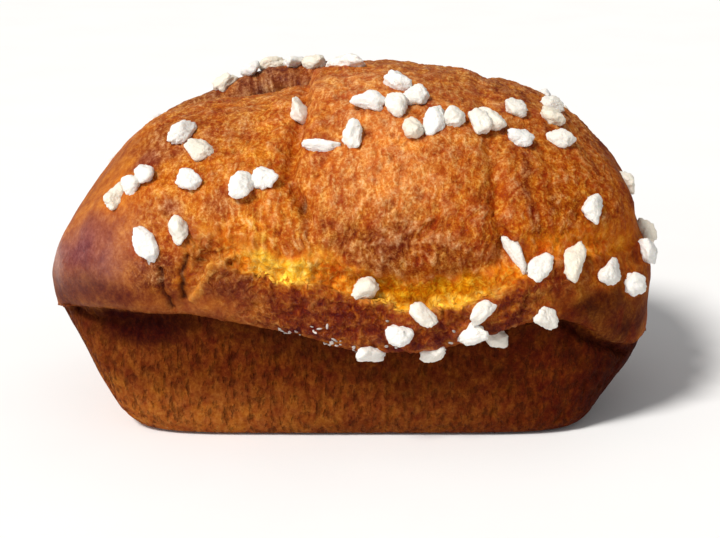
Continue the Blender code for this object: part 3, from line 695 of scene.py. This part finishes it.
def crust_tint(at, part, skin, sugar_distance):
    """The crust's colour at each point."""
    # The lip is dark and glazed, orange towards its torn edge; its dark red-brown is partly darker crust
    # and partly painted shade. The crumb behind it is bright on the left and painted in shade on the right,
    # under the middle ball.
    mottle = fade(waves(at.points, 3.0 * MM, 12.5), -0.3, 0.3)
    lip = part.lip * fade(at.x, -30 * MM, -12 * MM) * (1 - fade(at.x, 38 * MM, 50 * MM))
    upper_lip = lip * bump(part.over_edge + 1.5 * MM, 1.8 * MM)
    shaded = (1 - part.left_crumb) * fade(part.over_edge, 0.8 * MM, 2.6 * MM)
    fluffy = fade(waves(at.points, 2.2 * MM, 14.5) + 0.6 * part.left_crumb, -0.6, 0.0) * (1 - shaded)
    tint = painted(
        baked_tint(at, part),
        (RED_BROWN, lip * (0.45 + 0.55 * mottle)),
        (DEEP_ORANGE, 0.7 * upper_lip * (1 - 0.6 * mottle)),
        (BRIDGE, 0.85 * part.tear * (1 - part.crumb) * fade(at.x, -34 * MM, -24 * MM)),
        (CRUMB_DEEP, part.crumb),
        # Painted shade on the crumb on the right, under the middle ball.
        (CRUMB_SHADE, part.crumb * shaded),
        (CRUMB, part.crumb * fluffy),
        (CRUMB, 0.9 * bump(part.over_edge - 0.3 * MM, 0.9 * MM) * part.crumb_shows),
    )
    tint += (wall_tint(at, part) - tint) * part.wall[:, None]

    # Painted shade darkens the cracks and the slit, a painted highlight pales the skin's crests and
    # painted shade darkens its crevices, except in the crumb.
    dark = np.clip(part.crack_depth / DEEP_CRACK, 0, 1)
    glazed = (1 - fade(sugar_distance, 3.0 * MM, 5.5 * MM)) * (1 - part.wall) * (1 - 0.8 * part.crumb)
    baked = (1 - part.crumb) * (1 - part.wall)
    flaky = baked * (1 - part.lip) * (1 - part.smooth)
    return painted(
        tint,
        (TORN_SKIN, 0.9 * part.torn_rim),
        # Painted shade in the cracks and the slit.
        (RECESS_SHADE, 0.9 * np.maximum(dark**2, part.slit)),
        # Round the sugar: partly caramel glaze and partly painted shade round the grains.
        (GLAZE_AND_SHADE, 0.7 * glazed),
        # Painted shade in the skin's crevices.
        (CREVICE_SHADE, 0.45 * fade(-skin, 0.05 * MM, 0.4 * MM) * baked),
        # Painted highlight on the skin's crests.
        (PEACH_HIGHLIGHT, 0.30 * fade(skin, 0.05 * MM, 0.4 * MM) * flaky),
    )


def crust_gloss(at, part, sugar_distance):
    """How glazed the crust is at each point, from 0 for crumb and wall to 1."""
    cheek = bump(at.x + 67 * MM, 14 * MM) * bump(at.over - 20, 15) * (1 - at.pole)
    crown = fade(at.over, 50, 75) * (1 - fade(at.over, 110, 140)) * fade(at.x, -60 * MM, -40 * MM)
    gloss = 0.06 + 0.55 * cheek + 0.14 * crown + 0.12 * part.lip
    gloss += 0.22 * (1 - fade(sugar_distance, 2.5 * MM, 5.0 * MM))
    gloss *= 1 - 0.8 * fade(at.x, 30 * MM, 60 * MM)
    return np.clip(gloss * (1 - part.crumb) * (1 - part.wall), 0, 1)


def along_path(path, part):
    """The point at that part of a path's length."""
    corners = [Vector(corner) for corner in path]
    lengths = [(b - a).length for a, b in zip(corners, corners[1:])]
    left = part * sum(lengths)
    for start, end, length in zip(corners, corners[1:], lengths):
        if left <= length:
            return start.lerp(end, left / length)
        left -= length
    return corners[-1]


def grain_spots():
    """(X in mm, degrees over) of every grain of the drifts."""
    return [along_path(path, index / max(count - 1, 1)) for count, *path in DRIFTS for index in range(count)]


def on_crust(crust, x, over):
    """The point of the crust at X and radians over, and its normal."""
    out = Vector((0, -math.cos(over), math.sin(over)))
    return crust.ray_cast(Vector((x, 0, SPIN_HEIGHT)) + out * LIP_HALF_LENGTH, -out)[:2]


def stand_on(point, normal, tilt, turn, size, sunk):
    """A matrix that stands a lump 1 m long on the crust, that part of it baked in."""
    stand = normal.to_track_quat("Z", "Y").to_matrix().to_4x4()
    middle = Matrix.Translation(point + normal * size[2] * (0.5 - sunk))
    lean = Matrix.Rotation(tilt, 4, "X") @ Matrix.Rotation(turn, 4, "Z")
    return middle @ stand @ lean @ Matrix.Diagonal((*size, 1))


def grain_place(crust, spot, draw):
    """A matrix that stands a grain on the crust where the solid's is, or None off the crust."""
    x = spot[0] / 1000 + draw.uniform(-1, 1) * DRIFT_SCATTER
    over = math.radians(spot[1]) + draw.uniform(-1, 1) * DRIFT_SCATTER / SPIN_HEIGHT
    size = [draw.uniform(*span) for span in (GRAIN_LENGTH, GRAIN_WIDTH, GRAIN_THICKNESS)]
    turned = draw.uniform(0, 360)
    tilt = draw.uniform(-1, 1) * GRAIN_TILT
    if tuple(spot) in ODD_GRAINS:
        *size, turned = ODD_GRAINS[tuple(spot)]
    point, normal = on_crust(crust, x, over)
    if point is None:
        return None
    return stand_on(point, normal, tilt, math.radians(turned), size, GRAIN_SUNK)


def lump_points(directions, draw, facets, sharpness):
    """Points of a lump of sugar of unit size: flat facets at uneven distances with worn edges."""
    normals = np.array([[draw.gauss(0, 1) for _ in range(3)] for _ in range(facets)])
    normals /= np.linalg.norm(normals, axis=1)[:, None]
    reach = np.array([draw.uniform(0.62, 0.98) for _ in range(facets)])
    towards = np.maximum(directions @ (normals / reach[:, None]).T, 0)
    radius = np.minimum((towards**sharpness).sum(axis=1) ** (-1 / sharpness), 1.14)
    seed = draw.uniform(0, 99)
    for size, height in LUMP_WAVES:
        radius *= 1 + height * waves(directions, size, seed + 10 * size)
    return directions * radius[:, None] / 2


def unit_ball(detail):
    """The points and faces of an icosphere 1 m in radius."""
    ball = bmesh.new()
    bmesh.ops.create_icosphere(ball, subdivisions=detail, radius=1.0)
    directions = np.array([v.co for v in ball.verts])
    faces = np.array([[v.index for v in f.verts] for f in ball.faces])
    ball.free()
    return directions, faces


def joined(name, lumps, faces, tints):
    """One piece made of many lumps that share their faces, with a tint for each."""
    count = len(lumps[0])
    mesh = bpy.data.meshes.new(name)
    all_faces = np.concatenate([faces + count * index for index in range(len(lumps))])
    mesh.from_pydata(np.concatenate(lumps).tolist(), [], all_faces.tolist())
    colours = np.repeat(np.column_stack([tints, np.ones(len(tints))]), count, axis=0)
    set_floats(mesh, "tint", "FLOAT_COLOR", "color", colours)
    mesh.shade_smooth()
    piece = bpy.data.objects.new(name, mesh)
    bpy.context.scene.collection.objects.link(piece)
    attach(piece, "root")
    return piece


def in_place(points, place):
    matrix = np.array(place)
    return points @ matrix[:3, :3].T + matrix[:3, 3]


def sugar_grains(places):
    """The pearl sugar, each grain where the solid's stands."""
    directions, faces = unit_ball(GRAIN_DETAIL)
    lumps, tints = [], []
    for index, place in enumerate(places):
        draw = random.Random(FIRST_LUMP_SEED + index)
        lumps.append(in_place(lump_points(directions, draw, GRAIN_FACETS, GRAIN_SHARPNESS), place))
        tints.append(np.array(SUGAR_WHITE) + (np.array(SUGAR_CREAM) - SUGAR_WHITE) * draw.random() ** 2)
    piece = joined("pearl_sugar", lumps, faces, tints)
    piece.data.materials.append(sugar_material())


def scattered_bits(name, kind, mesh, tints, chance):
    """One piece of small bits that lie on the crust where chance, one number a vertex, is high."""
    count, seed, sunk, *spans = kind
    draw = random.Random(seed)
    picked = draw.choices(range(len(chance)), weights=chance.tolist(), k=count)
    directions, faces = unit_ball(BIT_DETAIL)
    lumps, colours = [], []
    for index in picked:
        vertex = mesh.vertices[index]
        size = [draw.uniform(*span) for span in spans]
        turned = math.radians(draw.gauss(*BIT_TURN))
        place = stand_on(vertex.co, vertex.normal, draw.gauss(0, BIT_LEAN), turned, size, sunk)
        shape = directions * (1 + 0.35 * waves(directions, 0.8, draw.uniform(0, 99)))[:, None] / 2
        shape[:, 2] += draw.uniform(-0.5, 0.9) * shape[:, 0] ** 2
        lumps.append(in_place(shape, place))
        colours.append(tints[index] * draw.uniform(0.75, 1.25))
    return joined(name, lumps, faces, np.array(colours))


# --- Materials ---


def feed(tree, node, inputs):
    """Sets inputs of a shader node to values, or links them to other nodes' outputs."""
    for socket, value in inputs.items():
        if isinstance(value, bpy.types.NodeSocket):
            tree.links.new(value, node.inputs[socket])
        else:
            node.inputs[socket].default_value = value


def add_node(tree, kind, inputs=None, **settings):
    made = tree.nodes.new(kind)
    for name, value in settings.items():
        setattr(made, name, value)
    feed(tree, made, inputs or {})
    return made


def attribute(tree, name, output):
    return add_node(tree, "ShaderNodeAttribute", attribute_name=name).outputs[output]


def maths(tree, operation, a, b=0.0, c=0.0):
    return add_node(tree, "ShaderNodeMath", {0: a, 1: b, 2: c}, operation=operation).outputs[0]


def noise_at(tree, vector, size, detail=2.0, roughness=0.5, distortion=0.0):
    """Noise from about 0 to 1 whose waves are that many metres long."""
    inputs = {"Vector": vector, "Scale": 1 / size, "Detail": detail, "Roughness": roughness,
              "Distortion": distortion}
    return add_node(tree, "ShaderNodeTexNoise", inputs).outputs["Fac"]


def ramp(tree, value, low, high, to_low=0.0, to_high=1.0):
    """value from low to high becomes to_low to to_high, and stays inside them."""
    inputs = {"Value": value, "From Min": low, "From Max": high, "To Min": to_low, "To Max": to_high}
    return add_node(tree, "ShaderNodeMapRange", inputs, clamp=True).outputs["Result"]


def stretched(tree, vector, x, y, z):
    """The vector with its axes shortened, so that what is drawn on it is drawn out."""
    return add_node(tree, "ShaderNodeMapping", {"Vector": vector, "Scale": (x, y, z)}).outputs[0]


def recoloured(tree, colour, bright, hue=0.5):
    """The colour made that many times as bright. A hue of 0.5 leaves its hue as it is."""
    inputs = {"Color": colour, "Value": bright, "Hue": hue}
    return add_node(tree, "ShaderNodeHueSaturation", inputs).outputs[0]


def bumped(tree, height, strength):
    """The normal of a surface that stands out by that height in metres."""
    inputs = {"Height": height, "Distance": 1.0, "Strength": strength}
    return add_node(tree, "ShaderNodeBump", inputs).outputs[0]


def new_material(name):
    """A material, its node tree, its shader and the place on the object that is shaded."""
    material = bpy.data.materials.new(name)
    material.use_nodes = True
    tree = material.node_tree
    here = add_node(tree, "ShaderNodeTexCoord").outputs["Object"]
    return material, tree, tree.nodes["Principled BSDF"], here


def crust_material():
    """Baked crust: fine mottling, upright pores on the wall, sponge in the tear, glaze that glints."""
    material, tree, shader, here = new_material("baked_crust")
    curled = attribute(tree, "curled", "Vector")
    gloss = attribute(tree, "gloss", "Fac")
    kinds = add_node(tree, "ShaderNodeSeparateColor", {"Color": attribute(tree, "kinds", "Color")})
    wall, sponge, plain = kinds.outputs

    mottle = noise_at(tree, here, MOTTLE, detail=3.0, roughness=0.60)
    fibres = noise_at(tree, stretched(tree, curled, 1.0, 0.50, 1.0), FIBRES, detail=3.0, distortion=0.3)
    speckle = noise_at(tree, here, SPECKLE, detail=3.0, roughness=0.70, distortion=0.5)
    drawn = {0: attribute(tree, "pole", "Fac"), 2: fibres, 3: speckle}
    fibres = add_node(tree, "ShaderNodeMix", drawn).outputs[0]
    foam = noise_at(tree, here, FOAM, detail=4.0, roughness=0.70, distortion=0.6)
    pores = noise_at(tree, stretched(tree, here, 1.0, 1.0, 0.45), PORES, detail=3.0)
    pore =maths(tree, "MULTIPLY", ramp(tree, pores, 0.50, 0.68), wall)

    # Flaky skin: pale, drawn-out flakes over deeper, redder hollows, as powers of the tint. The same noise
    # raises the flakes in the bump, so this is partly the skin's own uneven tone and partly painted highlight
    # on the flakes and painted shade in the hollows. Smooth stretches have only fine specks.
    flake = maths(tree, "MULTIPLY_ADD", fibres, 0.45, maths(tree, "MULTIPLY", speckle, 0.55))
    flaky = ramp(tree, flake, 0.40, 0.60, 1.45, 0.66)
    calm = ramp(tree, flake, 0.38, 0.62, 1.12, 0.90)
    skin = add_node(tree, "ShaderNodeMix", {0: plain, 2: calm, 3: flaky}).outputs[0]
    # Sponge: paler on its bubbles and deeper between them, partly its own uneven tone and partly painted
    # highlight and painted shade that follow the bubbles in the bump.
    spongy = ramp(tree, foam, 0.36, 0.64, 1.50, 0.64)
    skin = add_node(tree, "ShaderNodeMix", {0: sponge, 2: skin, 3: spongy}).outputs[0]
    baked = {"Color": attribute(tree, "tint", "Color"), "Gamma": skin}
    baked = add_node(tree, "ShaderNodeGamma", baked).outputs[0]
    bright = ramp(tree, mottle, 0.32, 0.68, 0.75, 1.24)
    baked = recoloured(tree, baked, bright, ramp(tree, mottle, 0.3, 0.7, 0.490, 0.508))
    # Painted shade darkens the wall's pores, where the bump sinks them.
    deep = {0: maths(tree, "MULTIPLY", pore, 0.55), 6: baked, 7: (*PORE_SHADE, 1)}
    colour = add_node(tree, "ShaderNodeMix", deep, data_type="RGBA").outputs[2]

    rough = maths(tree, "SUBTRACT", 0.80, maths(tree, "MULTIPLY", gloss, 0.7))
    rough = maths(tree, "ADD", rough, ramp(tree, speckle, 0.3, 0.7, -0.07, 0.07))

    lines = maths(tree, "MULTIPLY", maths(tree, "MULTIPLY", flake, LINE_HEIGHT), plain)
    bubbles = maths(tree, "MULTIPLY", maths(tree, "MULTIPLY", foam, BUBBLE_HEIGHT), sponge)
    holes = maths(tree, "MULTIPLY", pore, -HOLE_DEPTH)
    specks = maths(tree, "MULTIPLY", speckle, SPECK_HEIGHT)
    height = maths(tree, "ADD", maths(tree, "ADD", lines, bubbles), maths(tree, "ADD", specks, holes))
    normal = bumped(tree, height, 0.9)
    feed(tree, shader, {
        "Base Color": colour, "Roughness": rough, "Specular IOR Level": 0.04, "Coat Weight": gloss,
        "Coat Roughness": 0.16, "Normal": normal, "Coat Normal": normal,
    })
    return material


def bits_material(name, roughness, coat):
    """Small bits of baked dough or sugar, each with its own tint, uneven and rough."""
    material, tree, shader, here = new_material(name)
    uneven = noise_at(tree, here, CRYSTALS, roughness=0.6)
    bright = ramp(tree, uneven, 0.3, 0.7, 0.75, 1.25)
    feed(tree, shader, {
        "Base Color": recoloured(tree, attribute(tree, "tint", "Color"), bright),
        "Roughness": ramp(tree, uneven, 0.3, 0.7, roughness + 0.1, roughness - 0.1),
        "Specular IOR Level": 0.10, "Coat Weight": coat, "Coat Roughness": 0.22,
        "Normal": bumped(tree, maths(tree, "MULTIPLY", uneven, 0.20 * MM), 0.8),
    })
    return material


def sugar_material():
    """Pressed sugar: matt white grains, some a little creamy, rough with tiny crystals."""
    material, tree, shader, here = new_material("pearl_sugar")
    crystals = noise_at(tree, here, CRYSTALS, detail=3.0, roughness=0.6)
    bright = ramp(tree, crystals, 0.3, 0.7, 0.93, 1.04)
    feed(tree, shader, {
        "Base Color": recoloured(tree, attribute(tree, "tint", "Color"), bright),
        "Roughness": ramp(tree, crystals, 0.3, 0.7, 0.75, 0.50),
        "Subsurface Weight": 0.25, "Subsurface Radius": (1.0, 0.8, 0.6), "Subsurface Scale": 1.2 * MM,
        "Normal": bumped(tree, maths(tree, "MULTIPLY", crystals, 0.40 * MM), 0.9),
    })
    return material


def floor_material():
    material, tree, shader, here = new_material("studio_floor")
    shade = ramp(tree, noise_at(tree, here, FLOOR_CLOUDS), 0.3, 0.7, 0.90, 0.92)
    colour = add_node(tree, "ShaderNodeCombineColor", {0: shade, 1: shade, 2: shade}).outputs[0]
    feed(tree, shader, {"Base Color": colour, "Roughness": 0.9, "Specular IOR Level": 0.1})
    return material


# --- Pieces ---


def set_floats(mesh, name, kind, field, values):
    attribute = mesh.attributes.new(name, kind, "POINT")
    attribute.data.foreach_set(field, np.ascontiguousarray(values, np.float32).ravel())


def set_points(mesh, points, out=None):
    """Moves a mesh's vertices to points, and out of them along its normals. Returns where they are."""
    if out is not None:
        normals = np.empty(points.size, np.float32)
        mesh.vertices.foreach_get("normal", normals)
        points = points + normals.reshape(-1, 3) * out[:, None]
    mesh.vertices.foreach_set("co", points.astype(np.float32).ravel())
    mesh.update()
    return points


def make_crust():
    """The loaf's crust, with its relief, and what its colours are worked out from."""
    cage = fine_cage()
    climb, ring = climb_and_ring(np.array([v.co for v in cage.verts]))
    mesh = bpy.data.meshes.new("loaf_crust")
    cage.to_mesh(mesh)
    cage.free()
    points = set_points(mesh, plain_form(climb, ring))
    at = Places(points, ring)
    points = set_points(mesh, points, broad_relief(at))
    part = Regions(at)
    skin = skin_relief(at, part)
    set_points(mesh, points, fine_relief(at, part, skin))
    mesh.shade_smooth()
    crust =bpy.data.objects.new("loaf_crust", mesh)
    bpy.context.scene.collection.objects.link(crust)
    return crust, at, part, skin


def distance_to_sugar(points, places):
    """How far each point is from the nearest grain's middle."""
    tree = KDTree(len(places))
    for index, place in enumerate(places):
        tree.insert(place.to_translation(), index)
    tree.balance()
    return np.array([tree.find(point)[2] for point in points.tolist()])


def make_loaf():
    """The crust with its colours, and the sugar and the bits that lie on it."""
    crust, at, part, skin = make_crust()
    mesh = crust.data
    surface = BVHTree.FromPolygons([v.co for v in mesh.vertices], [p.vertices for p in mesh.polygons])
    draws = (random.Random(FIRST_GRAIN_SEED + index) for index in range(len(grain_spots())))
    places = [grain_place(surface, spot, draw) for spot, draw in zip(grain_spots(), draws)]
    places = [place for place in places if place is not None]

    near = distance_to_sugar(at.points, places)
    tint = crust_tint(at, part, skin, near)
    sponge = np.clip(part.tear + part.crumb + 0.9 * part.lip, 0, 1)
    plain = (1 - 0.9 * part.smooth) * (1 - 0.9 * part.wall) * (1 - sponge)
    opaque = np.ones_like(near)
    kinds = np.column_stack([part.wall * (1 - 0.8 * part.hollow), sponge, plain, opaque])
    set_floats(mesh, "tint", "FLOAT_COLOR", "color", np.column_stack([tint, opaque]))
    set_floats(mesh, "kinds", "FLOAT_COLOR", "color", kinds)
    set_floats(mesh, "gloss", "FLOAT", "value", crust_gloss(at, part, near))
    set_floats(mesh, "curled", "FLOAT_VECTOR", "vector", at.curled)
    set_floats(mesh, "pole", "FLOAT", "value", at.pole)
    mesh.materials.append(crust_material())
    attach(crust, "root")
    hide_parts("brioche_loaf")
    sugar_grains(places)

    # Bits that stand on the crust: torn bits along the lip's edge, and broken sugar.
    clear = fade(near, 3.0 * MM, 4.0 * MM)
    torn_edge = bump(part.over_edge, 0.8 * MM) * clear * part.crumb_shows
    bits = scattered_bits("torn_bits", TORN_BITS, mesh, tint, torn_edge)
    bits.data.materials.append(bits_material("torn_crumb", 0.75, 0.0))

    dust = sum(bump(at.x - x, reach) * bump(at.over - degrees, spread)
               for x, degrees, reach, spread in SUGAR_DUST)
    dust = dust + 0.004 * bump(near - 4.0 * MM, 0.7 * MM) * (1 - part.wall)
    glassy = np.tile(SUGAR_GLASS, (len(near), 1))
    crumbs = scattered_bits("sugar_bits", SUGAR_BITS, mesh, glassy, dust)
    crumbs.data.materials.append(bits_material("broken_sugar", 0.40, 0.3))


def make_studio():
    bpy.ops.mesh.primitive_plane_add(size=FLOOR_SIZE, location=(0, 0, 0))
    floor = bpy.context.object
    floor.name = "studio_floor"
    floor.data.materials.append(floor_material())

    world = bpy.data.worlds.new("studio")
    bpy.context.scene.world = world
    world.use_nodes = True
    sky = {"Color": (1, 1, 1, 1), "Strength": SKY_STRENGTH}
    feed(world.node_tree, world.node_tree.nodes["Background"], sky)

    def lamp(name, kind, energy, location, colour, **settings):
        light = bpy.data.lights.new(name, kind)
        light.energy = energy
        light.color = colour
        for setting, value in settings.items():
            setattr(light, setting, value)
        obj = bpy.data.objects.new(name, light)
        obj.location = location
        obj.rotation_euler = (CAMERA_TARGET - Vector(location)).to_track_quat("-Z", "Y").to_euler()
        bpy.context.scene.collection.objects.link(obj)

    lamp("key", "SUN", 3.3, (-0.50, -0.55, 0.85), (1.0, 0.97, 0.93), angle=math.radians(14))
    lamp("left_window", "AREA", 1.6, (-0.75, -0.55, 0.28), (0.86, 0.92, 1.0), size=0.45)

    data = bpy.data.cameras.new("camera")
    data.lens = CAMERA_LENS
    camera = bpy.data.objects.new("camera", data)
    back = Vector((0, -math.cos(CAMERA_ELEVATION), math.sin(CAMERA_ELEVATION)))
    camera.location = CAMERA_TARGET + back * CAMERA_DISTANCE
    camera.rotation_euler = (-back).to_track_quat("-Z", "Y").to_euler()
    bpy.context.scene.collection.objects.link(camera)
    bpy.context.scene.camera = camera
    bpy.context.scene.view_settings.view_transform = "Standard"


make_loaf()
make_studio()
